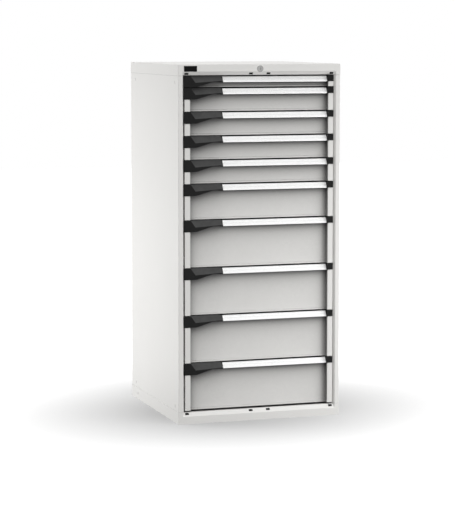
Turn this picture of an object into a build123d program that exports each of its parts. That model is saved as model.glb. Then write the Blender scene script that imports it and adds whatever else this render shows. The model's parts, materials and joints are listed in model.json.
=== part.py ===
# Drawer cabinet: ten drawers on telescopic runners in a folded steel housing, with one central lock.
# Millimetres. +X is right, +Y is back, +Z is up. The origin is on the floor under the middle.
# A depth is measured back from the face of the front frame.

import os
from math import hypot, radians, sin

from build123d import *

# Housing
housing_width = 717.0
housing_depth = 725.0
drawer_heights = [50.0, 100.0, 100.0, 100.0, 100.0, 150.0, 200.0, 200.0, 200.0, 200.0]  # top first
sheet = 1.5  # thickness of every folded panel
base_height = 50.0
base_plate = 2.0  # thickness of the plate that stands on the floor
cover_height = 47.0  # side height of the top cover
seam = 0.5  # joint line between a side panel and what lies above and below it
side_inset = 1.0  # side panels lie this far inside the cover and the base
bend = 2.5  # outside radius of the folded edges
edge_chamfer = 1.2  # along the top cover's upper edge
rear_flange = 30.0  # side panels turn in this far at the back

# Bevelled frame around the drawers
upright_face = 19.5  # flat front of each upright
upright_bevel = 6.5
top_face = 30.0
top_bevel = 15.0
base_face = 31.0
base_bevel = 17.0
bevel_depth = 10.0
frame_depth = 22.0  # from the frame's face to its back edge
slot_width = 17.0  # dark slots in both rails
slot_height = 8.0
slot_depth = 14.0
slot_rise = 2.0  # from the opening's edge to the slot above it
slot_fall = 2.5  # from the opening's edge to the slot below it
slot_spots = (38.5, 320.0)  # distance of the slots from the middle

# Drawer stack
stack_room_below = 5.0  # from the base rail to the lowest drawer's level
stack_room_above = 2.0
gap_below = 2.5  # a front starts this far above its level
gap_above = 0.5  # and ends this far under the next one

# Fronts and trays
side_room = 52.0  # from a tray's wall to the housing's side
rear_room = 84.0  # from a tray's back to the housing's back
flange_gap = 4.5  # between a front flange and the upright
flange_return = 11.0  # flanges fold back this far at their outer edge
front_setback = 3.0  # depth of the flanges
recess = 26.0  # depth of the recessed front panel
wall_drop = 10.0  # tray walls end this far under the level above
floor_rise = 6.0
panel_drop = 6.0
lip_height = 7.5  # bevelled lip along the foot of the front panel
lip_stand = 1.5  # how far that lip stands forward
catch_width = 24.0  # lock catch on a tray's back
catch_reach = 15.5
catch_rise = 30.0  # underside of the catch above the drawer's level
catch_drop = 10.0

# Handle profile
handle_height = 22.0
handle_drop = 4.0  # the handle starts this far under the level above
handle_back_gap = 4.0  # from the label face's top edge to the front panel
handle_foot_depth = 9.0
handle_wall = 2.0
label_ridge = 1.5  # ridges that hold the label strip
label_groove = 0.8
nose = 1.5  # rounded foot of the label face
cap_height = 26.0
cap_depth = 1.0
cap_wall = 2.0

# Grip lever at the left end of each handle
lever_length = 162.0
lever_height = 47.0
lever_back_gap = 2.0  # from the lever's back to the front panel
lever_wall = 2.5
lever_side_gap = 1.0  # to the upright's inner edge
lever_bar_gap = 10.5  # between the lever and the handle profile
lever_play = 1.0  # between the lever and the fixed pieces around it
lever_tail = 53.0  # full-height stretch at the left end
lever_neck = 37.0  # low stretch at the hinge end
lever_neck_height = 26.0
lever_sweep = 25.0  # radius where tail and neck meet the slope
lever_corner = 2.0
facet_top = 28.0  # the tilted facet starts this far from the left end at the top
facet_foot = 51.0  # and this far at its foot
facet_drop_left = 31.5  # foot of the facet under the lever's top
facet_drop_right = 21.5
facet_back = 21.0  # depth of the facet's top edge behind the lever's face
facet_wall = 3.2
hinge_block = 11.0  # solid end that turns on the pin
hinge_inset = 6.0  # pin axis from the lever's right end
hinge_rear = 4.0  # pin axis in front of the lever's back
pin_diameter = 4.0
pin_play = 0.1
pin_height = 14.0
lug_thickness = 2.0
lug_gap = 0.3
lug_margin = 4.0  # lug around the pin's axis

# Telescopic runners
runner_rise = 8.0  # channels start this far above the drawer's level
channel_height = 32.0
channel_wall = 2.0
channel_reach = 12.0
runner_start = 30.0  # depth of the runners' front ends
runner_rear_gap = 25.0  # cabinet members end this far before the housing's back
slider_wall = 2.0
slider_play = 0.3  # above and below a middle member in its channels
slider_side_gap = 0.6
shoe_length = 290.0  # rear stretch of a middle member that runs in the cabinet's channel

# Slotted racks that carry the runners
rack_width = 30.0
rack_depth = 15.0
rack_front = 60.0
rack_rear_gap = 75.0  # from the rear racks to the housing's back
rack_slot_width = 12.0
rack_slot_height = 5.0
rack_pitch = 200.0
rack_slot_count = 7

# Small openings in the side panels and the base
side_slot_width = 4.0
side_slot_height = 12.0
side_slot_front = 50.5
side_slot_rear_gap = 73.5  # from the rear slots to the housing's back
side_slot_top = 75.0  # under the housing's top
side_slot_foot = 70.5
side_hole_diameter = 8.0
side_hole_rear_gap = 99.0  # from the housing's back
side_hole_height = 23.5
anchor_diameter = 12.0
anchor_side = 60.0  # anchor holes from the housing's sides
anchor_end = 62.5  # and from its face and back

# Central lock
lock_drop = 19.4  # lock axis under the housing's top
rosette_diameter = 28.0
rosette_proud = 1.5
lock_diameter = 20.0
lock_length = 28.0
plug_diameter = 14.0
plug_setback = 0.5
lock_play = 0.1
key_width = 2.0
key_height = 9.0
key_depth = 6.0
shaft_diameter = 8.0
bearing_width = 30.0
bearing_thickness = 2.0
bearing_foot = 18.0
bearing_gap = 32.0  # bearing plate from the inside of the housing's back
crank_radius = 7.0
crank_pin = 5.0
crank_thickness = 4.0
crank_play = 0.4
crank_room = 4.0  # from the crank to the flag of the lock bar
bar_thickness = 4.0
bar_strip = 14.0
bar_rear_gap = 2.0  # from the lock bar to the back panel
flag_thickness = 4.0
flag_margin = 4.5
hook_rise = 2.0  # hook arm above the drawer's level
hook_arm = 7.0
hook_tip = 7.5
hook_tip_rise = 17.5
hook_play = 1.5  # from a raised hook to the catch in front of it
guide_play = 0.3
guide_wall = 2.0
guide_height = 40.0
guide_overlap = 10.0
guide_rise = 247.0  # lower guide above the drawer stack's foot
guide_drop = 253.0  # upper guide under the stack's top

# Places worked out from the sizes above
opening_bottom = base_face + base_bevel
stack_floor = opening_bottom + stack_room_below
stack_top = stack_floor + sum(drawer_heights)
opening_top = stack_top + stack_room_above
housing_height = opening_top + top_bevel + top_face
front = (rosette_proud - housing_depth) / 2  # Y of the frame's face
half_width = housing_width / 2
opening_half = half_width - upright_face - upright_bevel
skin = half_width - side_inset  # outer face of a side panel
tray_half = half_width - side_room
tray_back = housing_depth - rear_room
flange_edge = opening_half - flange_gap
rack_face = skin - sheet - rack_depth
rack_rear = housing_depth - rack_rear_gap - rack_width
side_slot_rear = housing_depth - side_slot_rear_gap
side_hole_depth = housing_depth - side_hole_rear_gap
slider_middle = (tray_half + rack_face) / 2
slider_reach = slider_middle - slider_wall - tray_half - channel_wall - slider_side_gap
lever_left = -(opening_half - lever_side_gap)
lever_right = lever_left + lever_length
lever_depth = recess - lever_back_gap - cap_depth
handle_left = lever_right + lever_bar_gap
handle_right = tray_half - sheet - cap_wall
handle_top_depth = recess - handle_back_gap
hinge_x = lever_right - hinge_inset
hinge_back = lever_depth - hinge_rear  # pin axis behind the lever's face
hinge_depth = cap_depth + hinge_back
lug_drop = lever_neck_height - lug_gap
lock_height = housing_height - lock_drop
back_inside = housing_depth - 2 * sheet  # depth of the back panel's inner face
bar_depth = back_inside - bar_rear_gap - bar_strip
flag_depth = bar_depth + guide_overlap - 2 * flag_thickness
crank_depth = flag_depth - crank_room - crank_thickness
crank_offset = crank_radius * sin(radians(45))
guide_spots = (stack_floor + guide_rise, stack_top - guide_drop)


def drawer_levels():
    """The levels under and above each drawer, top drawer first."""
    levels = []
    above = stack_top
    for height in drawer_heights:
        levels.append((above - height, above))
        above -= height
    return levels


def facing_front(depth):
    """Upright plane at a depth: its x is X, its y is Z, and it looks forward."""
    return Plane.XZ.offset(-(front + depth))


def block(x_span, depth_span, z_span, mode=Mode.ADD):
    """Add to the part at hand, or cut from it, the box between these limits."""
    sizes = [high - low for low, high in (x_span, depth_span, z_span)]
    with Locations((x_span[0], front + depth_span[0], z_span[0])):
        Box(*sizes, align=(Align.MIN, Align.MIN, Align.MIN), mode=mode)


def bent_sheet(path, side, height, radius=0):
    """Upright folded sheet whose outer face follows a path of (x, depth) points."""
    low, high = height
    points = [(x, front + depth) for x, depth in path]
    with BuildSketch(Plane.XY.offset(low)) as section:
        with BuildLine():
            if radius:
                FilletPolyline(*points, radius=radius)
            else:
                Polyline(*points)
            offset(amount=sheet, side=side, kind=Kind.INTERSECTION)
        make_face()
    extrude(section.sketch, amount=high - low)


def depth_profile(points, x_span):
    """Straight piece along X whose section is a list of (depth, z) points."""
    left, right = x_span
    with BuildSketch(Plane.YZ.offset(left)) as section:
        with BuildLine():
            Polyline(*[(front + depth, z) for depth, z in points], close=True)
        make_face()
    extrude(section.sketch, amount=right - left)


def save(name, *pieces):
    """Write one node, whose pieces stay solids of their own even where they touch."""
    node = Compound([solid for piece in pieces for solid in piece.part.solids()])
    node.label = name
    export_step(node, f"parts/{name}.step")


# Housing panels

def cut_opening():
    """The bevelled opening of the front frame."""
    face_height = housing_height - top_face - base_face
    with BuildSketch(facing_front(0)) as mouth:
        with Locations((0, base_face + face_height / 2)):
            Rectangle(2 * (half_width - upright_face), face_height)
    with BuildSketch(facing_front(bevel_depth)) as throat:
        with Locations((0, (opening_bottom + opening_top) / 2)):
            Rectangle(2 * opening_half, opening_top - opening_bottom)
    loft([mouth.sketch, throat.sketch], ruled=True, mode=Mode.SUBTRACT)
    extrude(throat.sketch, amount=bevel_depth - frame_depth, mode=Mode.SUBTRACT)


def cut_rail_slots(foot):
    """Four short slots in the bevel of a rail, from the height of their lower edge."""
    for spot in slot_spots:
        for middle in (-spot, spot):
            x_span = (middle - slot_width / 2, middle + slot_width / 2)
            block(x_span, (0, slot_depth), (foot, foot + slot_height), Mode.SUBTRACT)


def make_top_cover():
    foot = housing_height - cover_height
    inner = half_width - sheet
    with BuildPart() as top_cover:
        with BuildSketch(Plane.XY.offset(foot)):
            with Locations((0, front + housing_depth / 2)):
                RectangleRounded(housing_width, housing_depth, bend)
        extrude(amount=cover_height)
        chamfer(top_cover.faces().sort_by(Axis.Z)[-1].edges(), length=edge_chamfer)
        under_skin = housing_height - sheet
        block((-inner, inner), (frame_depth, housing_depth - sheet), (foot, under_skin), Mode.SUBTRACT)
        rail_hollow = housing_height - top_face + sheet
        block((-inner, inner), (sheet, frame_depth), (rail_hollow, under_skin), Mode.SUBTRACT)
        cut_opening()
        cut_rail_slots(opening_top + slot_rise)
        with BuildSketch(facing_front(0)):
            with Locations((0, lock_height)):
                Circle(lock_diameter / 2)
        extrude(amount=-frame_depth, mode=Mode.SUBTRACT)
    return top_cover


def make_base():
    inner = half_width - sheet
    with BuildPart() as base:
        with BuildSketch():
            with Locations((0, front + housing_depth / 2)):
                RectangleRounded(housing_width, housing_depth, bend)
        extrude(amount=base_height)
        rear = housing_depth - sheet
        block((-inner, inner), (frame_depth, rear), (base_plate, base_height), Mode.SUBTRACT)
        block((-inner, inner), (sheet, frame_depth), (base_plate, base_face - sheet), Mode.SUBTRACT)
        cut_opening()
        cut_rail_slots(opening_bottom - slot_fall - slot_height)
        with BuildSketch():
            with Locations((0, front + housing_depth / 2)):
                with GridLocations(housing_width - 2 * anchor_side, housing_depth - 2 * anchor_end, 2, 2):
                    Circle(anchor_diameter / 2)
        extrude(amount=base_plate, mode=Mode.SUBTRACT)
        with BuildSketch(Plane.YZ.offset(-half_width)):
            with Locations((front + side_hole_depth, side_hole_height)):
                Circle(side_hole_diameter / 2)
        extrude(amount=housing_width, mode=Mode.SUBTRACT)
    return base


def make_side_panel(side):
    """Side wall folded round into the bevelled upright in front and a flange at the back."""
    path = [
        (side * opening_half, frame_depth),
        (side * opening_half, bevel_depth),
        (side * (half_width - upright_face), 0),
        (side * skin, 0),
        (side * skin, housing_depth),
        (side * (skin - rear_flange), housing_depth),
    ]
    inward = Side.LEFT if side > 0 else Side.RIGHT
    low = base_height + seam
    high = housing_height - cover_height - seam
    with BuildPart() as panel:
        bent_sheet(path, inward, (low, high), bend)
        slot_heights = (side_slot_foot, housing_height - side_slot_top)
        for depth in (side_slot_front, side_slot_rear):
            for height in slot_heights:
                with BuildSketch(Plane.YZ.offset(side * skin)) as slot:
                    with Locations((front + depth, height)):
                        Rectangle(side_slot_width, side_slot_height)
                extrude(slot.sketch, amount=sheet, both=True, mode=Mode.SUBTRACT)
    return panel


def make_back_panel():
    """Plate in front of the rear flanges, and the cheeks on it that guide the lock bar."""
    inner = skin - bend
    low = base_height + seam
    high = housing_height - cover_height - seam
    with BuildPart() as back_panel:
        block((-inner, inner), (back_inside, back_inside + sheet), (low, high))
    with BuildPart() as cheeks:
        cheek = bar_thickness / 2 + guide_play
        for height in guide_spots:
            for side in (-1, 1):
                x_span = sorted((side * cheek, side * (cheek + guide_wall)))
                depth_span = (bar_depth + bar_strip - guide_overlap, back_inside)
                block(x_span, depth_span, (height, height + guide_height))
    return back_panel, cheeks


def make_racks():
    """Four slotted channels that stand between the base plate and the cover."""
    high = housing_height - sheet
    with BuildPart() as racks:
        for side in (-1, 1):
            for depth in (rack_front, rack_rear):
                outer = sorted((side * rack_face, side * (rack_face + rack_depth)))
                hollow = sorted((side * (rack_face + sheet), side * (rack_face + rack_depth)))
                block(outer, (depth, depth + rack_width), (base_plate, high))
                hollow_depth = (depth + sheet, depth + rack_width - sheet)
                block(hollow, hollow_depth, (base_plate, high), Mode.SUBTRACT)
                first = stack_floor + rack_pitch / 4
                with BuildSketch(Plane.YZ.offset(side * rack_face)) as slots:
                    with Locations((front + depth + rack_width / 2, first)):
                        with Locations(*[(0, step * rack_pitch) for step in range(rack_slot_count)]):
                            Rectangle(rack_slot_width, rack_slot_height)
                extrude(slots.sketch, amount=side * sheet, mode=Mode.SUBTRACT)
    return racks


# Runners

def channel(side, web, mouth, foot, depth_span, play=0.0):
    """Channel section along the depth, open towards mouth (1 or -1), with the back of its web at web.

    Without play it is a fixed channel, and with play the slider that runs in one.
    """
    low, high = depth_span
    wall, reach = (slider_wall, slider_reach) if play else (channel_wall, channel_reach)
    height = channel_height - 2 * (channel_wall + play) if play else channel_height
    middle = foot + channel_height / 2
    with BuildSketch(facing_front(low)) as section:
        with Locations((side * (web + mouth * (wall + reach) / 2), middle)):
            Rectangle(wall + reach, height)
        with Locations((side * (web + mouth * (wall + reach / 2)), middle)):
            Rectangle(reach, height - 2 * wall, mode=Mode.SUBTRACT)
    extrude(section.sketch, amount=low - high)


def make_cabinet_runners():
    """The fixed members, one on each side of every drawer, against the racks."""
    with BuildPart() as runners:
        for level, _ in drawer_levels():
            for side in (-1, 1):
                depth_span = (runner_start, housing_depth - runner_rear_gap)
                channel(side, rack_face, -1, level + runner_rise, depth_span)
    return runners


def make_middle_runners(level):
    """The middle members: a long rail in the drawer's channel, with a rear shoe in the cabinet's."""
    foot = level + runner_rise
    with BuildPart() as runners:
        for side in (-1, 1):
            channel(side, slider_middle, -1, foot, (runner_start, tray_back), slider_play)
            channel(side, slider_middle, 1, foot, (tray_back - shoe_length, tray_back), slider_play)
    return runners


# Drawers

def make_tray(level, above):
    """Sheet tray with its recessed front panel, side flanges and runner channels."""
    foot = level + gap_below
    top = above - gap_above
    pan_floor = level + floor_rise
    wall_top = above - wall_drop
    panel_top = above - panel_drop
    inner = tray_half - sheet
    lever_foot = top - lever_height - lever_play
    with BuildPart() as tray:
        with BuildSketch(Plane.XY.offset(pan_floor)):
            with Locations((0, front + (recess + tray_back) / 2)):
                Rectangle(2 * tray_half, tray_back - recess)
        extrude(amount=wall_top - pan_floor)
        pan_depth = (recess + sheet, tray_back - sheet)
        block((-inner, inner), pan_depth, (pan_floor + sheet, wall_top), Mode.SUBTRACT)
        # Front panel, with an ear that closes the gap behind the grip lever
        panel_span = (recess, recess + sheet)
        block((-tray_half, tray_half), panel_span, (foot, panel_top))
        block((-flange_edge, -tray_half), panel_span, (max(foot, lever_foot), panel_top))
        lip = [
            (recess, foot),
            (recess - lip_stand, foot),
            (recess - lip_stand, foot + lip_height - lip_stand),
            (recess, foot + lip_height),
        ]
        depth_profile(lip, (-inner, inner))
        # Folded cheeks and flanges beside the panel
        flange_tops = {-1: lever_foot, 1: top - cap_wall}
        for side, flange_top in flange_tops.items():
            if flange_top > foot + lip_height:
                path = [
                    (side * inner, recess),
                    (side * inner, front_setback),
                    (side * flange_edge, front_setback),
                    (side * flange_edge, front_setback + flange_return),
                ]
                inward = Side.RIGHT if side < 0 else Side.LEFT
                bent_sheet(path, inward, (foot, flange_top))
        for side in (-1, 1):
            channel(side, tray_half, 1, level + runner_rise, (runner_start, tray_back))
    return tray


def make_catch(level):
    """Bent plate on a tray's back that a raised hook of the lock bar holds."""
    half = catch_width / 2
    foot = level + catch_rise
    back = tray_back + catch_reach
    with BuildPart() as catch:
        block((-half, half), (tray_back, back), (foot, foot + sheet))
        block((-half, half), (back - sheet, back), (foot - catch_drop, foot))
    return catch


def handle_section(above):
    """Section of the handle: tilted label face with its groove, web and leg against the panel."""
    top = above - handle_drop
    fall = handle_top_depth - handle_foot_depth
    length = hypot(fall, handle_height)
    along = (-fall / length, -handle_height / length)
    inward = (handle_height / length, -fall / length)

    def on_face(distance, sunk):
        depth = handle_top_depth + along[0] * distance + inward[0] * sunk
        return (depth, top + along[1] * distance + inward[1] * sunk)

    web_foot = top - handle_wall
    slope = fall / handle_height
    inner_foot = on_face(length, handle_wall)
    inner_top = (inner_foot[0] + slope * (web_foot - inner_foot[1]), web_foot)
    leg_front = recess - handle_wall
    leg_foot = top - handle_height + handle_wall
    return [
        (recess, top),
        on_face(0, 0),
        on_face(label_ridge, 0),
        on_face(label_ridge, label_groove),
        on_face(length - label_ridge, label_groove),
        on_face(length - label_ridge, 0),
        on_face(length, 0),
        on_face(length + nose / 2, nose / 2),
        inner_foot,
        inner_top,
        (leg_front, web_foot),
        (leg_front, leg_foot),
        (recess, leg_foot),
    ]


def make_handle(above):
    with BuildPart() as handle:
        depth_profile(handle_section(above), (handle_left, handle_right))
    return handle


def make_end_caps(above):
    """Right cap over the flange, and the left block that carries the lever's pin."""
    top = above - gap_above
    block_face = handle_foot_depth + handle_wall
    carrier = [
        (recess, above - handle_drop),
        (handle_top_depth + sheet, above - handle_drop),
        (block_face, top - lever_neck_height + handle_wall),
        (block_face, top - lug_drop - lug_thickness),
        (recess, top - lug_drop - lug_thickness),
    ]
    with BuildPart() as caps:
        block((handle_right, flange_edge), (cap_depth, recess), (top - cap_height, top))
        pocket_x = (handle_right + cap_wall, flange_edge)
        pocket_z = (top - cap_height, top - cap_wall)
        block(pocket_x, (cap_depth + cap_wall, recess), pocket_z, Mode.SUBTRACT)
        depth_profile(carrier, (lever_right + lever_play, handle_left))
        lug_x = (hinge_x - lug_margin, lever_right + lever_play)
        lug_z = (top - lug_drop - lug_thickness, top - lug_drop)
        block(lug_x, (hinge_depth - lug_margin, hinge_depth + lug_margin), lug_z)
        with BuildSketch(Plane.XY.offset(top - lug_drop)):
            with Locations((hinge_x, front + hinge_depth)):
                Circle(pin_diameter / 2)
        extrude(amount=pin_height)
    return caps


def facet_cut(top, sunk, shift):
    """Body in front of the lever's facet, or of a plane sunk behind it, right of the slanted step."""
    face = front + cap_depth + sunk
    foot = Vector(lever_left, face, top - facet_drop_left)
    along = Vector(lever_right, face, top - facet_drop_right) - foot
    facet = Plane(foot, x_dir=along, z_dir=along.cross(Vector(0, facet_back, facet_drop_left)))
    far = 3 * lever_length
    step = lever_left + facet_top - shift
    lean = far * (facet_foot - facet_top) / facet_drop_left
    with BuildPart() as cut:
        with BuildSketch(facet):
            Rectangle(far, far)
        extrude(amount=lever_length)
        with BuildSketch(facing_front(0)):
            with BuildLine():
                Polyline(
                    (step + lean, top - far),
                    (step - lean, top + far),
                    (step - lean - far, top + far),
                    (step - lean - far, top - far),
                    close=True,
                )
            make_face()
        extrude(amount=far, both=True, mode=Mode.SUBTRACT)
    return cut


def lever_hollow(top, keep_out):
    """Finger pocket behind the lever's face, open at the back and under the slope."""
    left = lever_left + lever_wall
    right = lever_right - hinge_block
    neck_foot = top - lever_neck_height - 2 * lever_wall
    tail_foot = top - lever_height
    with BuildPart() as hollow:
        with BuildSketch(facing_front(cap_depth + lever_wall)):
            with BuildLine():
                Polyline(
                    (left, top - lever_wall),
                    (right, top - lever_wall),
                    (right, neck_foot),
                    (lever_right - lever_neck, neck_foot),
                    (lever_left + lever_tail + lever_wall, tail_foot - lever_wall),
                    (lever_left + lever_tail + lever_wall, tail_foot + lever_wall),
                    (left, tail_foot + lever_wall),
                    close=True,
                )
            make_face()
        extrude(amount=-lever_depth)
        add(keep_out.part, mode=Mode.SUBTRACT)
    return hollow


def make_lever(above):
    """Moulded grip with a tilted facet, hollow behind, that turns on an upright pin at its right end."""
    top = above - gap_above
    scoop = facet_cut(top, 0, 0)
    keep_out = facet_cut(top, facet_wall, lever_wall)
    hollow = lever_hollow(top, keep_out)
    with BuildPart() as lever:
        with BuildSketch(facing_front(cap_depth)):
            with BuildLine():
                Polyline(
                    (lever_left, top),
                    (lever_right, top),
                    (lever_right, top - lever_neck_height),
                    (lever_right - lever_neck, top - lever_neck_height),
                    (lever_left + lever_tail, top - lever_height),
                    (lever_left, top - lever_height),
                    close=True,
                )
            corners = make_face().vertices().sort_by(Axis.X)
            fillet(corners[2:4], radius=lever_sweep)
            fillet(corners[0:2], radius=lever_corner)
        extrude(amount=-lever_depth)
        add(scoop.part, mode=Mode.SUBTRACT)
        add(hollow.part, mode=Mode.SUBTRACT)
        # Room for the lug under the hinge block, and the blind hole for the pin
        lug_room = (hinge_depth - lug_margin - lever_play, cap_depth + lever_depth)
        block_x = (lever_right - hinge_block, lever_right)
        block(block_x, lug_room, (top - lever_height, top - lug_drop + lug_gap), Mode.SUBTRACT)
        with BuildSketch(Plane.XY.offset(top - lug_drop)):
            with Locations((hinge_x, front + hinge_depth)):
                Circle(pin_diameter / 2 + pin_play)
        extrude(amount=pin_height + lug_gap, mode=Mode.SUBTRACT)
    return lever


# Central lock

def make_lock_fittings():
    """Turned sleeve with a rosette in front, and the bracket that carries the shaft's rear end."""
    bore = plug_diameter / 2 + lock_play
    sleeve = lock_diameter / 2 - lock_play
    with BuildPart() as fittings:
        with BuildSketch(Plane.YZ):
            with BuildLine():
                Polyline(
                    (front, lock_height + bore),
                    (front - rosette_proud, lock_height + bore),
                    (front - rosette_proud, lock_height + rosette_diameter / 2 - rosette_proud),
                    (front, lock_height + rosette_diameter / 2),
                    (front, lock_height + sleeve),
                    (front + lock_length, lock_height + sleeve),
                    (front + lock_length, lock_height + bore),
                    close=True,
                )
            make_face()
        revolve(axis=Axis((0, front, lock_height), (0, 1, 0)))
        bearing_depth = back_inside - bearing_gap
        bearing_back = bearing_depth + bearing_thickness
        half = bearing_width / 2
        under_skin = housing_height - sheet
        block((-half, half), (bearing_depth, bearing_back), (lock_height - shaft_diameter, under_skin))
        foot_depth = (bearing_back - bearing_foot, bearing_back)
        block((-half, half), foot_depth, (under_skin - bearing_thickness, under_skin))
        with BuildSketch(facing_front(bearing_depth)):
            with Locations((0, lock_height)):
                Circle(shaft_diameter / 2 + lock_play)
        extrude(amount=-bearing_thickness, mode=Mode.SUBTRACT)
    return fittings


def make_lock_plug():
    """Plug with its key slot, the long shaft and the crank at its rear end."""
    plug_face = plug_setback - rosette_proud
    pin_x = -crank_offset
    pin_z = lock_height - crank_offset
    with BuildPart() as plug:
        with BuildSketch(facing_front(plug_face)):
            with Locations((0, lock_height)):
                Circle(plug_diameter / 2)
        extrude(amount=plug_face - lock_length)
        block(
            (-key_width / 2, key_width / 2),
            (plug_face, plug_face + key_depth),
            (lock_height - key_height / 2, lock_height + key_height / 2),
            Mode.SUBTRACT,
        )
        with BuildSketch(facing_front(lock_length)):
            with Locations((0, lock_height)):
                Circle(shaft_diameter / 2)
        extrude(amount=lock_length - crank_depth)
        with BuildSketch(facing_front(crank_depth)):
            with Locations((0, lock_height)):
                Circle(shaft_diameter / 2)
            with Locations((pin_x, pin_z)):
                Circle(crank_pin / 2)
            make_hull()
        extrude(amount=-crank_thickness)
        with BuildSketch(facing_front(crank_depth + crank_thickness)):
            with Locations((pin_x, pin_z)):
                Circle(crank_pin / 2)
        extrude(amount=-(crank_room + flag_thickness + crank_play))
    return plug


def make_lock_bar():
    """Upright bar behind the drawers, with a slotted flag that the crank lifts."""
    half = bar_thickness / 2
    pin_z = lock_height - crank_offset
    pin_half = crank_pin / 2 + crank_play
    slot_left = -crank_radius - pin_half
    bar_foot = stack_floor + hook_rise
    flag_top = pin_z + pin_half + flag_margin
    with BuildPart() as bar:
        block((-half, half), (bar_depth, bar_depth + bar_strip), (bar_foot, flag_top))
        flag_x = (slot_left - flag_margin, half)
        flag_span = (flag_depth, flag_depth + flag_thickness)
        block(flag_x, flag_span, (pin_z - pin_half - flag_margin, flag_top))
        block((slot_left, -half), flag_span, (pin_z - pin_half, pin_z + pin_half), Mode.SUBTRACT)
    return bar


def make_hooks():
    """The hooks on the lock bar's front edge, one for each drawer."""
    half = bar_thickness / 2
    tip_end = tray_back + catch_reach - sheet - hook_play
    tip_start = tip_end - hook_tip
    with BuildPart() as hooks:
        for level, _ in drawer_levels():
            foot = level + hook_rise
            block((-half, half), (tip_start, bar_depth), (foot, foot + hook_arm))
            block((-half, half), (tip_start, tip_end), (foot, foot + hook_tip_rise))
    return hooks


os.makedirs("parts", exist_ok=True)
save("top_cover", make_top_cover())
save("base_plinth", make_base())
save("left_side_panel", make_side_panel(-1))
save("right_side_panel", make_side_panel(1))
save("back_panel", *make_back_panel())
save("runner_racks", make_racks())
save("cabinet_runners", make_cabinet_runners())
save("lock_fittings", make_lock_fittings())
save("lock_plug", make_lock_plug())
save("lock_bar", make_lock_bar(), make_hooks())
for number, (level, above) in enumerate(drawer_levels(), start=1):
    save(f"drawer_{number:02d}_tray", make_tray(level, above), make_catch(level))
    save(f"drawer_{number:02d}_handle", make_handle(above))
    save(f"drawer_{number:02d}_end_caps", make_end_caps(above))
    save(f"drawer_{number:02d}_grip_lever", make_lever(above))
    save(f"drawer_{number:02d}_middle_runners", make_middle_runners(level))
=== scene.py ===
# Drawer cabinet: looks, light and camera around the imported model. Metres; +X right, +Y back, +Z up.
import json
import math

import bpy
import bmesh
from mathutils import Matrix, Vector


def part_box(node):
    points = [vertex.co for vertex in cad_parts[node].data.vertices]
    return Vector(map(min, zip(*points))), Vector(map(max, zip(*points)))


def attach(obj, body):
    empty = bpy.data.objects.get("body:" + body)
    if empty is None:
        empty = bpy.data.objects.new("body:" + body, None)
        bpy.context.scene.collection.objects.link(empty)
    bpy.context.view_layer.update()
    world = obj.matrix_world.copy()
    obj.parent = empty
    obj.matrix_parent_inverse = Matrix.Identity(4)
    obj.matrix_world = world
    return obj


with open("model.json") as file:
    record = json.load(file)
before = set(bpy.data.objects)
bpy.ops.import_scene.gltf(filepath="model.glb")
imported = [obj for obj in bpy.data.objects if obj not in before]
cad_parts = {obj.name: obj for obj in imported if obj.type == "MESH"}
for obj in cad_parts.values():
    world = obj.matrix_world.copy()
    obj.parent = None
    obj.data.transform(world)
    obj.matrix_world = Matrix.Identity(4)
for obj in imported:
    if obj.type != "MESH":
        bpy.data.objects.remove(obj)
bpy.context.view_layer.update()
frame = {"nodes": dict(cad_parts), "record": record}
nodes = frame["nodes"]
mm = 0.001
print("frame loaded:", len(nodes), "CAD nodes")


# Helpers that make a mesh piece, a material, and a node in its tree

def newPiece(name, build, material, body):
    mesh = bpy.data.meshes.new(name)
    bm = bmesh.new()
    build(bm)
    bmesh.ops.recalc_face_normals(bm, faces=bm.faces)
    bm.to_mesh(mesh)
    bm.free()
    piece = bpy.data.objects.new(name, mesh)
    bpy.context.scene.collection.objects.link(piece)
    mesh.materials.append(material)
    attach(piece, body)
    return piece


def newMaterial(name, colour, rough, metal=0.0):
    mat = bpy.data.materials.new(name)
    mat.use_nodes = True
    shader = mat.node_tree.nodes["Principled BSDF"]
    shader.inputs["Base Color"].default_value = (*colour, 1.0)
    shader.inputs["Roughness"].default_value = rough
    shader.inputs["Metallic"].default_value = metal
    return mat, mat.node_tree, shader


def addNode(tree, kind, x, y, **inputs):
    node = tree.nodes.new(kind)
    node.location = (x, y)
    for key, value in inputs.items():
        node.inputs[key.replace("_", " ")].default_value = value
    return node


def objectCoords(tree, scale=(1, 1, 1)):
    coords = addNode(tree, "ShaderNodeTexCoord", -1100, 0)
    mapping = addNode(tree, "ShaderNodeMapping", -900, 0)
    mapping.inputs["Scale"].default_value = scale
    tree.links.new(coords.outputs["Object"], mapping.inputs["Vector"])
    return mapping.outputs["Vector"]


def addBump(tree, shader, height, strength, distance):
    bump = addNode(tree, "ShaderNodeBump", -250, -350, Strength=strength, Distance=distance)
    tree.links.new(height, bump.inputs["Height"])
    tree.links.new(bump.outputs["Normal"], shader.inputs["Normal"])


def varyColour(tree, shader, vector, darker, lighter, scale):
    cloud = addNode(tree, "ShaderNodeTexNoise", -650, 250, Scale=scale, Detail=3.0)
    ramp = addNode(tree, "ShaderNodeValToRGB", -400, 250)
    ramp.color_ramp.elements[0].position = 0.3
    ramp.color_ramp.elements[0].color = (*darker, 1.0)
    ramp.color_ramp.elements[1].position = 0.7
    ramp.color_ramp.elements[1].color = (*lighter, 1.0)
    tree.links.new(vector, cloud.inputs["Vector"])
    tree.links.new(cloud.outputs["Fac"], ramp.inputs["Fac"])
    tree.links.new(ramp.outputs["Color"], shader.inputs["Base Color"])


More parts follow.
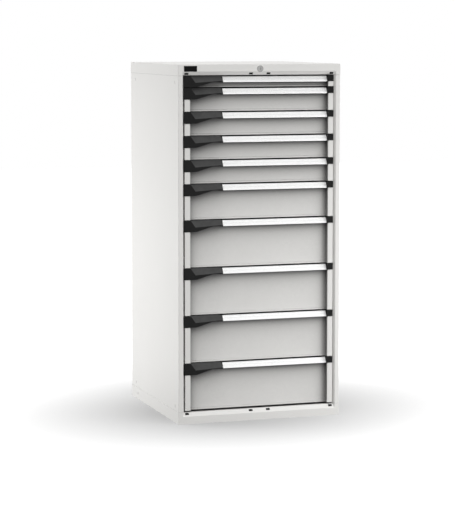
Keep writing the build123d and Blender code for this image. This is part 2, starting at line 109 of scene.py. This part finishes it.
def varyRoughness(tree, shader, vector, low, high, scale):
    cloud = addNode(tree, "ShaderNodeTexNoise", -650, -100, Scale=scale, Detail=4.0)
    spread = addNode(tree, "ShaderNodeMapRange", -400, -100)
    spread.inputs["To Min"].default_value = low
    spread.inputs["To Max"].default_value = high
    tree.links.new(vector, cloud.inputs["Vector"])
    tree.links.new(cloud.outputs["Fac"], spread.inputs["Value"])
    tree.links.new(spread.outputs["Result"], shader.inputs["Roughness"])


# Finishes of the cabinet, one for each kind of surface

powderCoat = {
    "colour": (0.72, 0.713, 0.695),
    "housingTone": 1.03,     # the folded housing is a shade lighter than the drawers
    "drawerTone": 0.98,
    "drift": 0.010,          # how far the tone wanders over a panel
    "roughness": (0.40, 0.50),
    "sheen": 0.35,           # under the usual 0.5, to suit the photograph
    "driftSize": 2.5,        # clouds per metre
    "glossPatches": 14.0,
    "grainSize": 1400.0,     # orange peel of the powder, per metre
    "grainStrength": 0.35,
    "grainDepth": 0.04 * mm,
    "recessShadeReach": 0.17,     # how far out of a corner the painted shade reaches
    "recessShadeFall": 1.75,       # how fast the painted shade deepens towards the corner
    "openShare": 0.84,       # of the slanted look upwards that a flat open panel leaves free
    "flangeWidth": 20.2 * mm,    # flanges beside the panels, where the painted shade doesn't fall
}


def openFlanges(tree):
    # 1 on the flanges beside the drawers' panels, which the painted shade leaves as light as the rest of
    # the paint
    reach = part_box("drawer_01_end_caps")[1].x
    coords = addNode(tree, "ShaderNodeTexCoord", -1100, 850)
    across = addNode(tree, "ShaderNodeSeparateXYZ", -900, 850)
    aside = addNode(tree, "ShaderNodeMath", -700, 850)
    aside.operation = "ABSOLUTE"
    edge = addNode(tree, "ShaderNodeMapRange", -500, 850)
    edge.inputs["From Min"].default_value = reach - powderCoat["flangeWidth"] - 0.8 * mm
    edge.inputs["From Max"].default_value = reach - powderCoat["flangeWidth"]
    tree.links.new(coords.outputs["Object"], across.inputs["Vector"])
    tree.links.new(across.outputs["X"], aside.inputs[0])
    tree.links.new(aside.outputs[0], edge.inputs["Value"])
    return edge.outputs["Result"]


def paintRecessShade(tree, shader):
    # Painted shade under the handles, standing in for the soft shade which these lamps alone don't give:
    # the paint's colour is darkened where something hangs over it, by an amount fitted to the photograph
    tint = shader.inputs["Base Color"].links[0].from_socket
    surface = addNode(tree, "ShaderNodeNewGeometry", -1250, 550)
    upward = addNode(tree, "ShaderNodeVectorMath", -1050, 550)
    upward.operation = "ADD"
    upward.inputs[1].default_value = (0.0, 0.0, 1.0)
    slant = addNode(tree, "ShaderNodeVectorMath", -850, 550)
    slant.operation = "NORMALIZE"
    corner = addNode(tree, "ShaderNodeAmbientOcclusion", -650, 550, Distance=powderCoat["recessShadeReach"])
    corner.samples = 12
    openness = addNode(tree, "ShaderNodeMath", -480, 550)
    openness.operation = "DIVIDE"
    openness.use_clamp = True
    openness.inputs[1].default_value = powderCoat["openShare"]
    tone = addNode(tree, "ShaderNodeMath", -320, 550)
    tone.operation = "POWER"
    tone.inputs[1].default_value = powderCoat["recessShadeFall"]
    scale = addNode(tree, "ShaderNodeVectorMath", -150, 400)
    scale.operation = "SCALE"
    tree.links.new(surface.outputs["Normal"], upward.inputs[0])
    tree.links.new(upward.outputs["Vector"], slant.inputs[0])
    tree.links.new(slant.outputs["Vector"], corner.inputs["Normal"])
    tree.links.new(corner.outputs["AO"], openness.inputs[0])
    tree.links.new(openness.outputs[0], tone.inputs[0])
    kept = addNode(tree, "ShaderNodeMath", -320, 700)
    kept.operation = "MAXIMUM"
    tree.links.new(tone.outputs[0], kept.inputs[0])
    tree.links.new(openFlanges(tree), kept.inputs[1])
    tree.links.new(tint, scale.inputs[0])
    tree.links.new(kept.outputs[0], scale.inputs["Scale"])
    tree.links.new(scale.outputs["Vector"], shader.inputs["Base Color"])


def powderCoatPaint(name, tone, withRecessShade=False):
    base = [c * tone for c in powderCoat["colour"]]
    mat, tree, shader = newMaterial(name, base, 0.4)
    vector = objectCoords(tree)
    darker = [c * (1 - powderCoat["drift"]) for c in base]
    lighter = [c * (1 + powderCoat["drift"]) for c in base]
    varyColour(tree, shader, vector, darker, lighter, powderCoat["driftSize"])
    if withRecessShade:
        paintRecessShade(tree, shader)
    varyRoughness(tree, shader, vector, *powderCoat["roughness"], powderCoat["glossPatches"])
    peel = addNode(tree, "ShaderNodeTexNoise", -650, -350, Scale=powderCoat["grainSize"], Detail=2.0)
    tree.links.new(vector, peel.inputs["Vector"])
    addBump(tree, shader, peel.outputs["Fac"], powderCoat["grainStrength"], powderCoat["grainDepth"])
    shader.inputs["Specular IOR Level"].default_value = powderCoat["sheen"]
    return mat


anodised = {
    "colour": (0.80, 0.80, 0.80),
    "roughness": (0.30, 0.42),
    "metal": 0.85,
    "drawLines": (6.0, 900.0, 900.0),  # fine lines along the extrusion, per metre
    "lineStrength": 0.15,
    "lineDepth": 0.03 * mm,
}


def anodisedAluminium(name):
    mat, tree, shader = newMaterial(name, anodised["colour"], 0.35, metal=anodised["metal"])
    vector = objectCoords(tree, anodised["drawLines"])
    lines = addNode(tree, "ShaderNodeTexNoise", -650, -350, Scale=1.0, Detail=2.0)
    tree.links.new(vector, lines.inputs["Vector"])
    addBump(tree, shader, lines.outputs["Fac"], anodised["lineStrength"], anodised["lineDepth"])
    varyRoughness(tree, shader, vector, *anodised["roughness"], 1.0)
    return mat


blackMoulding = {
    "colour": (0.010, 0.010, 0.010),
    "roughness": (0.44, 0.58),
    "sheen": 0.08,           # far under real plastic, so that the white room doesn't grey it
    "facetHighlight": 6.2,        # painted highlight: upward-slanted grip facets are painted this much lighter, in place of the sheen they lack
    "facetSlant": (0.25, 0.5),   # upward share of a face's direction, where that painted highlight starts and is full
    "cloudSize": 30.0,
    "wearPatches": 40.0,
    "sparkGrain": 2200.0,    # fine spark-eroded texture, per metre
    "sparkStrength": 0.3,
    "sparkDepth": 0.05 * mm,
}


def paintSlantHighlight(tree, shader):
    # Painted highlight: faces that look upward get a lighter colour, as if lit from above
    tint = shader.inputs["Base Color"].links[0].from_socket
    surface = addNode(tree, "ShaderNodeNewGeometry", -900, 550)
    upward = addNode(tree, "ShaderNodeSeparateXYZ", -700, 550)
    tone = addNode(tree, "ShaderNodeMapRange", -500, 550)
    tone.inputs["From Min"].default_value = blackMoulding["facetSlant"][0]
    tone.inputs["From Max"].default_value = blackMoulding["facetSlant"][1]
    tone.inputs["To Min"].default_value = 1.0
    tone.inputs["To Max"].default_value = blackMoulding["facetHighlight"]
    scale = addNode(tree, "ShaderNodeVectorMath", -150, 400)
    scale.operation = "SCALE"
    tree.links.new(surface.outputs["Normal"], upward.inputs["Vector"])
    tree.links.new(upward.outputs["Z"], tone.inputs["Value"])
    tree.links.new(tint, scale.inputs[0])
    tree.links.new(tone.outputs["Result"], scale.inputs["Scale"])
    tree.links.new(scale.outputs["Vector"], shader.inputs["Base Color"])


def mouldedPlastic(name):
    base = blackMoulding["colour"]
    mat, tree, shader = newMaterial(name, base, 0.5)
    vector = objectCoords(tree)
    darker = [c * 0.9 for c in base]
    lighter = [c * 1.15 for c in base]
    varyColour(tree, shader, vector, darker, lighter, blackMoulding["cloudSize"])
    paintSlantHighlight(tree, shader)
    varyRoughness(tree, shader, vector, *blackMoulding["roughness"], blackMoulding["wearPatches"])
    shader.inputs["Specular IOR Level"].default_value = blackMoulding["sheen"]
    grain = addNode(tree, "ShaderNodeTexNoise", -650, -350, Scale=blackMoulding["sparkGrain"], Detail=1.0)
    tree.links.new(vector, grain.inputs["Vector"])
    addBump(tree, shader, grain.outputs["Fac"], blackMoulding["sparkStrength"], blackMoulding["sparkDepth"])
    return mat


zincPlate = {
    "colour": (0.60, 0.61, 0.62),
    "bloom": ((0.52, 0.53, 0.55), (0.68, 0.69, 0.69)),     # darker and lighter crystals
    "roughness": (0.24, 0.42),
    "crystals": 45.0,        # per metre
    "finerGloss": 1.6,       # patches of gloss are this much finer than the crystals
}


def zincPlatedSteel(name):
    mat, tree, shader = newMaterial(name, zincPlate["colour"], 0.32, metal=1.0)
    vector = objectCoords(tree)
    crystals = zincPlate["crystals"]
    varyColour(tree, shader, vector, *zincPlate["bloom"], crystals)
    varyRoughness(tree, shader, vector, *zincPlate["roughness"], crystals * zincPlate["finerGloss"])
    return mat


nickel = {
    "colour": (0.30, 0.30, 0.295),   # darker than real nickel, set by how the lock looks in the photograph
    "roughness": (0.26, 0.38),
    "turningLines": 1500.0,  # per metre
    "lineStrength": 0.1,
    "lineDepth": 0.02 * mm,
    "polishPatches": 300.0,
}


def turnedNickel(name):
    mat, tree, shader = newMaterial(name, nickel["colour"], 0.2, metal=1.0)
    vector = objectCoords(tree)
    rings = addNode(tree, "ShaderNodeTexNoise", -650, -350, Scale=nickel["turningLines"], Detail=1.0)
    tree.links.new(vector, rings.inputs["Vector"])
    addBump(tree, shader, rings.outputs["Fac"], nickel["lineStrength"], nickel["lineDepth"])
    varyRoughness(tree, shader, vector, *nickel["roughness"], nickel["polishPatches"])
    return mat


finishes = {
    "housing_paint": powderCoatPaint("housingPowderCoat", powderCoat["housingTone"]),
    "drawer_paint": powderCoatPaint("drawerPowderCoatWithShade", powderCoat["drawerTone"], withRecessShade=True),
    "handle_aluminium": anodisedAluminium("handleAnodised"),
    "dark_plastic": mouldedPlastic("blackMoulding"),
    "zinc_steel": zincPlatedSteel("zincPlatedSteel"),
    "lock_metal": turnedNickel("turnedNickel"),
}
for entry in frame["record"]["subparts"]:
    meshNode = nodes[entry["node"]]
    meshNode.data.materials.clear()
    meshNode.data.materials.append(finishes[entry["material_slot"]])
print("finishes assigned:", len(finishes))


# Label strips in the handles: folded paper under a clear cover

labelStrip = {
    "endRoom": 0.5 * mm,
    "paperThickness": 0.25 * mm,
    "coverThickness": 0.3 * mm,
    "coverRoom": 0.05 * mm,              # between the paper and the clear cover
    "faceTop": (22.0 * mm, 4.0 * mm),    # depth of the label face and its drop, at its upper edge
    "faceFoot": (9.0 * mm, 26.0 * mm),   # the same at its foot
    "ridge": 1.6 * mm,
    "groove": 0.8 * mm,
    "paperColour": (0.93, 0.93, 0.925),
    "foldColour": (0.55, 0.55, 0.54),
    "foldWidth": 0.7 * mm,
    "foldStand": 0.03 * mm,              # the fold rises this far out of the paper
    "foldRoot": 0.01 * mm,               # and starts this far inside it
    "fibres": 400.0,                     # per metre
    "fibreDepth": 0.01 * mm,
    "coverColour": (0.97, 0.98, 0.98),
    "coverShows": 0.08,                  # how much of the clear cover is seen
    "coverWaves": (3.0, 12.0, 12.0),     # long, slow waves along the strip, per metre
    "waveDepth": 0.1 * mm,
    "coverGloss": (0.14, 0.22),
}


def labelPaperMaterial():
    mat, tree, shader = newMaterial("labelPaper", labelStrip["paperColour"], 0.55)
    vector = objectCoords(tree, (labelStrip["fibres"],) * 3)
    fibres = addNode(tree, "ShaderNodeTexNoise", -650, -350, Scale=1.0, Detail=4.0)
    tree.links.new(vector, fibres.inputs["Vector"])
    addBump(tree, shader, fibres.outputs["Fac"], 0.05, labelStrip["fibreDepth"])
    return mat


def foldLineMaterial():
    base = labelStrip["foldColour"]
    mat, tree, shader = newMaterial("labelFold", base, 0.6)
    vector = objectCoords(tree, (90.0, 90.0, 90.0))
    varyColour(tree, shader, vector, [c * 0.85 for c in base], [c * 1.1 for c in base], 1.0)
    varyRoughness(tree, shader, vector, 0.55, 0.7, 2.0)
    return mat


def clearCoverMaterial():
    mat, tree, shader = newMaterial("clearCover", labelStrip["coverColour"], 0.12)
    shader.inputs["Alpha"].default_value = labelStrip["coverShows"]
    shader.inputs["IOR"].default_value = 1.49
    vector = objectCoords(tree, labelStrip["coverWaves"])
    waves = addNode(tree, "ShaderNodeTexNoise", -650, -350, Scale=1.0, Detail=1.0)
    tree.links.new(vector, waves.inputs["Vector"])
    addBump(tree, shader, waves.outputs["Fac"], 0.05, labelStrip["waveDepth"])
    varyRoughness(tree, shader, vector, *labelStrip["coverGloss"], 1.0)
    return mat


def sheetOnFace(bm, xSpan, along, sunk, frontY, boundary):
    # A thin plate parallel to the tilted label face; along and sunk are measured from the face's upper edge
    topDepth, topDrop = labelStrip["faceTop"]
    footDepth, footDrop = labelStrip["faceFoot"]
    down = Vector((0, footDepth - topDepth, topDrop - footDrop)).normalized()
    inward = Vector((0, -down.z, down.y))
    if inward.y < 0:
        inward.negate()
    start = Vector((0, frontY + topDepth, boundary - topDrop))
    corners = []
    for x in xSpan:
        for a in along:
            for s in sunk:
                corners.append(bm.verts.new(start + down * a + inward * s + Vector((x, 0, 0))))
    bmesh.ops.convex_hull(bm, input=corners)


paperMaterial = labelPaperMaterial()
foldMaterial = foldLineMaterial()
coverMaterial = clearCoverMaterial()
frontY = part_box("top_cover")[0].y
drawerCount = sum(1 for name in nodes if name.endswith("_handle"))
for number in range(1, drawerCount + 1):
    drawer = f"drawer_{number:02d}"
    low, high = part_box(drawer + "_handle")
    boundary = high.z + labelStrip["faceTop"][1]
    rise = labelStrip["faceFoot"][1] - labelStrip["faceTop"][1]
    run = labelStrip["faceTop"][0] - labelStrip["faceFoot"][0]
    faceLength = math.hypot(rise, run)
    xSpan = (low.x + labelStrip["endRoom"], high.x - labelStrip["endRoom"])
    along = (labelStrip["ridge"], faceLength - labelStrip["ridge"])
    floorDepth = labelStrip["groove"]
    paperFace = floorDepth - labelStrip["paperThickness"]
    middle = faceLength / 2
    fold = (middle - labelStrip["foldWidth"] / 2, middle + labelStrip["foldWidth"] / 2)
    newPiece(
        drawer + "_labelPaper",
        lambda bm: sheetOnFace(bm, xSpan, along, (paperFace, floorDepth), frontY, boundary),
        paperMaterial, drawer,
    )
    foldSunk = (paperFace - labelStrip["foldStand"], paperFace + labelStrip["foldRoot"])
    newPiece(
        drawer + "_labelFold",
        lambda bm: sheetOnFace(bm, xSpan, fold, foldSunk, frontY, boundary),
        foldMaterial, drawer,
    )
    coverBack = paperFace - labelStrip["coverRoom"]
    coverFace = coverBack - labelStrip["coverThickness"]
    newPiece(
        drawer + "_labelCover",
        lambda bm: sheetOnFace(bm, xSpan, along, (coverFace, coverBack), frontY, boundary),
        coverMaterial, drawer,
    )
print("label strips:", drawerCount)


# Blank badge plate on the top rail

badgePlate = {
    "left": -332.0 * mm,
    "right": -276.0 * mm,
    "foot": 1469.8 * mm,
    "top": 1493.4 * mm,
    "thickness": 1.2 * mm,
    "cornerRadius": 2.0 * mm,
    "edgeSoftness": 0.4 * mm,
    "colour": (0.004, 0.004, 0.004),
    "roughness": (0.28, 0.36),
    "sheen": 0.04,           # low for the same reason as the moulding's
}


def badgeEnamel(name):
    base = badgePlate["colour"]
    mat, tree, shader = newMaterial(name, base, 0.3)
    vector = objectCoords(tree)
    varyColour(tree, shader, vector, base, [c * 1.4 for c in base], 120.0)
    varyRoughness(tree, shader, vector, *badgePlate["roughness"], 200.0)
    shader.inputs["Specular IOR Level"].default_value = badgePlate["sheen"]
    return mat


def roundedPlate(bm, spec, backY):
    centres = []
    r = spec["cornerRadius"]
    for x, z, turn in (
        (spec["right"] - r, spec["top"] - r, 0),
        (spec["left"] + r, spec["top"] - r, 90),
        (spec["left"] + r, spec["foot"] + r, 180),
        (spec["right"] - r, spec["foot"] + r, 270),
    ):
        centres += [(x, z, math.radians(turn + step)) for step in (0, 30, 60, 90)]
    rings = []
    for y, inset in (
        (backY, 0.0),
        (backY - spec["thickness"] + spec["edgeSoftness"], 0.0),
        (backY - spec["thickness"], spec["edgeSoftness"]),
    ):
        ring = []
        for x, z, angle in centres:
            reach = r - inset
            ring.append(bm.verts.new((x + reach * math.cos(angle), y, z + reach * math.sin(angle))))
        rings.append(ring)
    count = len(centres)
    for lower, upper in zip(rings, rings[1:]):
        for i in range(count):
            j = (i + 1) % count
            bm.faces.new((lower[i], lower[j], upper[j], upper[i]))
    bm.faces.new(rings[-1])
    bm.faces.new(list(reversed(rings[0])))


newPiece(
    "badgePlate",
    lambda bm: roundedPlate(bm, badgePlate, frontY),
    badgeEnamel("badgeEnamel"), "housing",
)
print("badge plate done")


# Black cups in the short slots of both rails, which make the slots dark
slotCupSpec = {
    "spots": (-320.0 * mm, -38.5 * mm, 38.5 * mm, 320.0 * mm),
    "width": 17.0 * mm,
    "backDepth": 14.0 * mm,
    "setBack": 0.2 * mm,         # mouth behind the bevel's face
    "wall": 0.9 * mm,
    "floor": 1.2 * mm,
    "topZ": (1457.0 * mm, 1465.0 * mm),
    "topMouth": (8.67 * mm, 3.33 * mm),     # depth of the bevel's face at those heights
    "footZ": (37.5 * mm, 45.5 * mm),
    "footMouth": (3.82 * mm, 8.53 * mm),
}


def darkSlotCup(bm, middle, zSpan, mouth):
    # A cup with thin walls, open to the front along the bevel
    half = slotCupSpec["width"] / 2
    wall = slotCupSpec["wall"]
    slope = (mouth[1] - mouth[0]) / (zSpan[1] - zSpan[0])

    def ring(inset, depthOf):
        corners = []
        for x, z in ((-1, 0), (1, 0), (1, 1), (-1, 1)):
            height = zSpan[z] + (inset if z == 0 else -inset)
            corners.append(bm.verts.new((middle + x * (half - inset), frontY + depthOf(height), height)))
        return corners

    def atMouth(height):
        return mouth[0] + slope * (height - zSpan[0]) + slotCupSpec["setBack"]

    outerBack = ring(0.0, lambda height: slotCupSpec["backDepth"])
    outerMouth = ring(0.0, atMouth)
    innerMouth = ring(wall, atMouth)
    innerBack = ring(wall, lambda height: slotCupSpec["backDepth"] - slotCupSpec["floor"])
    rings = (outerBack, outerMouth, innerMouth, innerBack)
    for first, second in zip(rings, rings[1:]):
        for i in range(4):
            j = (i + 1) % 4
            bm.faces.new((first[i], first[j], second[j], second[i]))
    bm.faces.new(list(reversed(outerBack)))
    bm.faces.new(innerBack)


def slotCupsOf(bm, zSpan, mouth):
    for spot in slotCupSpec["spots"]:
        darkSlotCup(bm, spot, zSpan, mouth)


newPiece(
    "topRailSlotCups",
    lambda bm: slotCupsOf(bm, slotCupSpec["topZ"], slotCupSpec["topMouth"]),
    finishes["dark_plastic"], "housing",
)
newPiece(
    "baseRailSlotCups",
    lambda bm: slotCupsOf(bm, slotCupSpec["footZ"], slotCupSpec["footMouth"]),
    finishes["dark_plastic"], "housing",
)
print("slot liners done")


# Painted shade: dark strips in the joints that run round the side panels, above and below, standing in for
# the shade in those gaps
jointStrip = {
    "setBack": 0.3 * mm,         # behind the panel's outer face
    "thickness": 0.9 * mm,
    "room": 0.02 * mm,           # above and below the strip
    "uprightFace": 18.5 * mm,    # flat front of the upright, from the side panel's face
    "bevelWidth": 6.5 * mm,
    "bevelDepth": 10.0 * mm,
    "rearFlange": 30.0 * mm,
}


def stripOutline(side, setBack):
    # Round the upright's bevel, along the side and round the rear flange, seen from above
    low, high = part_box("left_side_panel" if side < 0 else "right_side_panel")
    skin = max(abs(low.x), abs(high.x))
    bevel = Vector((jointStrip["bevelWidth"], jointStrip["bevelDepth"])).normalized()
    edge = skin - jointStrip["uprightFace"]
    inner = edge - jointStrip["bevelWidth"]
    corner = edge + setBack * (1 - bevel.x) / bevel.y
    return [
        (side * (inner + setBack * bevel.y), low.y + jointStrip["bevelDepth"] + setBack * bevel.x),
        (side * corner, low.y + setBack),
        (side * (skin - setBack), low.y + setBack),
        (side * (skin - setBack), high.y - setBack),
        (side * (skin - jointStrip["rearFlange"]), high.y - setBack),
    ]


def ribbon(bm, side, foot, top):
    outer = stripOutline(side, jointStrip["setBack"])
    inner = stripOutline(side, jointStrip["setBack"] + jointStrip["thickness"])
    rings = []
    for (ox, oy), (ix, iy) in zip(outer, inner):
        corners = ((ox, oy, foot), (ox, oy, top), (ix, iy, top), (ix, iy, foot))
        rings.append([bm.verts.new(corner) for corner in corners])
    for first, second in zip(rings, rings[1:]):
        for i in range(4):
            j = (i + 1) % 4
            bm.faces.new((first[i], first[j], second[j], second[i]))
    bm.faces.new(list(reversed(rings[0])))
    bm.faces.new(rings[-1])


def stripsInJoint(bm, foot, top):
    for side in (-1, 1):
        ribbon(bm, side, foot + jointStrip["room"], top - jointStrip["room"])


panelLow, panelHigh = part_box("left_side_panel")
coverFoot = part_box("top_cover")[0].z
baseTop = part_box("base_plinth")[1].z
# Both strips are painted shade, in the black moulding's finish
newPiece(
    "coverJointShadeStrips",
    lambda bm: stripsInJoint(bm, panelHigh.z, coverFoot),
    finishes["dark_plastic"], "housing",
)
newPiece(
    "baseJointShadeStrips",
    lambda bm: stripsInJoint(bm, baseTop, panelLow.z),
    finishes["dark_plastic"], "housing",
)
print("joint strips done")


# Floor, sky, lamps and camera

studio = {
    "floorSize": 30.0,
    "floorSeen": 0.40,          # tone of the floor as the eye sees it
    "floorBounce": 0.15,        # and as it throws light back on the cabinet
    "shadeCentre": (-0.095, -0.113),   # painted shadow: the paper's glow is held back round this spot under the cabinet
    "shadeReach": (1.34, 1.14),         # how far that shade goes, along X and along Y
    "shadeEdge": (0.05, 1.176),         # in shares of the reach, from full shade to white paper
    "skyStrength": 0.84,        # light from all round
}


def addFloor():
    half = studio["floorSize"] / 2
    mesh = bpy.data.meshes.new("studioFloor")
    corners = [(-half, -half, 0), (half, -half, 0), (half, half, 0), (-half, half, 0)]
    mesh.from_pydata(corners, [], [(0, 1, 2, 3)])
    floor = bpy.data.objects.new("studioFloor", mesh)
    bpy.context.scene.collection.objects.link(floor)
    mat = bpy.data.materials.new("studioPaper")
    mat.use_nodes = True
    tree = mat.node_tree
    tree.nodes.clear()
    out = addNode(tree, "ShaderNodeOutputMaterial", 400, 0)
    matt = addNode(tree, "ShaderNodeBsdfDiffuse", 0, 100)
    tone = addNode(tree, "ShaderNodeMapRange", -200, 150)
    tone.inputs["To Min"].default_value = studio["floorBounce"]
    tone.inputs["To Max"].default_value = studio["floorSeen"]
    glow = addNode(tree, "ShaderNodeEmission", 0, -100)
    path = addNode(tree, "ShaderNodeLightPath", -600, -100)
    seen = seenByEye(tree, path)
    whiteness = paperWhiteness(tree)
    lift = addNode(tree, "ShaderNodeMath", -200, -100)
    lift.operation = "MULTIPLY"
    tree.links.new(whiteness, lift.inputs[1])
    both = addNode(tree, "ShaderNodeAddShader", 200, 0)
    tree.links.new(seen, tone.inputs["Value"])
    tree.links.new(tone.outputs["Result"], matt.inputs["Color"])
    tree.links.new(seen, lift.inputs[0])
    tree.links.new(lift.outputs[0], glow.inputs["Strength"])
    tree.links.new(matt.outputs[0], both.inputs[0])
    tree.links.new(glow.outputs[0], both.inputs[1])
    tree.links.new(both.outputs[0], out.inputs["Surface"])
    mesh.materials.append(mat)


def paperWhiteness(tree):
    # Grows from 0 under the cabinet to 1 on the open paper, where the floor is seen as white; below 1 it
    # leaves a painted shadow round the cabinet
    coords = addNode(tree, "ShaderNodeTexCoord", -1300, -400)
    spread = addNode(tree, "ShaderNodeMapping", -1100, -400)
    spread.vector_type = "TEXTURE"
    spread.inputs["Location"].default_value = (*studio["shadeCentre"], 0.0)
    spread.inputs["Scale"].default_value = (*studio["shadeReach"], 1.0)
    away = addNode(tree, "ShaderNodeVectorMath", -900, -400)
    away.operation = "LENGTH"
    whiten = addNode(tree, "ShaderNodeMapRange", -700, -400)
    whiten.inputs["From Min"].default_value = studio["shadeEdge"][0]
    whiten.inputs["From Max"].default_value = studio["shadeEdge"][1]
    tree.links.new(coords.outputs["Object"], spread.inputs["Vector"])
    tree.links.new(spread.outputs["Vector"], away.inputs[0])
    tree.links.new(away.outputs["Value"], whiten.inputs["Value"])
    return whiten.outputs["Result"]


def seenByEye(tree, path):
    # 1 for rays from the camera, and for those that metal and glass send on
    direct = addNode(tree, "ShaderNodeMath", -450, -100)
    direct.operation = "MAXIMUM"
    every = addNode(tree, "ShaderNodeMath", -320, -100)
    every.operation = "MAXIMUM"
    tree.links.new(path.outputs["Is Camera Ray"], direct.inputs[0])
    tree.links.new(path.outputs["Is Glossy Ray"], direct.inputs[1])
    tree.links.new(direct.outputs[0], every.inputs[0])
    tree.links.new(path.outputs["Is Transmission Ray"], every.inputs[1])
    return every.outputs[0]


def addSky():
    world = bpy.data.worlds.new("studioSky")
    bpy.context.scene.world = world
    world.use_nodes = True
    tree = world.node_tree
    back = tree.nodes["Background"]
    back.inputs["Color"].default_value = (1.0, 1.0, 1.0, 1.0)
    path = addNode(tree, "ShaderNodeLightPath", -700, 0)
    seen = seenByEye(tree, path)
    strength = addNode(tree, "ShaderNodeMapRange", -180, 0)
    strength.inputs["To Min"].default_value = studio["skyStrength"]
    strength.inputs["To Max"].default_value = 1.0
    tree.links.new(seen, strength.inputs["Value"])
    tree.links.new(strength.outputs["Result"], back.inputs["Strength"])


# Powers fitted to the photograph's tones, so they suit this view best
lamps = {
    "overheadSoftbox": {"at": (0.0, -2.17, 7.51), "aim": (0.0, -0.36, 0.75), "size": 3.0, "power": 59.0},
    "frontHighSoftbox": {"at": (0.0, -5.3, 5.7), "aim": (0.0, -0.36, 0.75), "size": 3.0, "power": 32.0},
    "frontLowSoftbox": {"at": (0.0, -5.0, 0.6), "aim": (0.0, -0.36, 0.55), "size": 1.4, "power": 21.0},
    "leftRearSoftbox": {"at": (-2.2, 0.9, 0.6), "aim": (-0.36, 0.0, 0.55), "size": 1.0, "power": 24.5},
    "rightNearSoftbox": {"at": (1.3, -1.5, 0.5), "aim": (0.1, -0.36, 0.5), "size": 1.0, "power": 12.0},
}


def addLamp(name, spec):
    light = bpy.data.lights.new(name, "AREA")
    light.shape = "SQUARE"
    light.size = spec["size"]
    light.energy = spec["power"]
    lamp = bpy.data.objects.new(name, light)
    bpy.context.scene.collection.objects.link(lamp)
    lamp.location = spec["at"]
    look = Vector(spec["aim"]) - Vector(spec["at"])
    lamp.rotation_euler = look.to_track_quat("-Z", "Y").to_euler()


camera = {
    "at": (-2.7486, -8.2728, 1.6338),
    "turn": 0.31811,         # radians to the right of +Y
    "tilt": 0.08605,         # radians down
    "focalLength": 141.04,   # mm on a 36 mm wide sensor
    "shiftY": -0.1,
}


def addCamera():
    lens = bpy.data.cameras.new("photoCamera")
    lens.lens = camera["focalLength"]
    lens.sensor_width = 36.0
    lens.shift_y = camera["shiftY"]
    lens.clip_end = 60.0
    eye = bpy.data.objects.new("photoCamera", lens)
    bpy.context.scene.collection.objects.link(eye)
    eye.location = camera["at"]
    eye.rotation_euler = (math.pi / 2 - camera["tilt"], 0.0, -camera["turn"])
    bpy.context.scene.camera = eye


addFloor()
addSky()
for lampName, lampSpec in lamps.items():
    addLamp(lampName, lampSpec)
addCamera()
bpy.context.scene.view_settings.view_transform = "Standard"
print("studio ready")
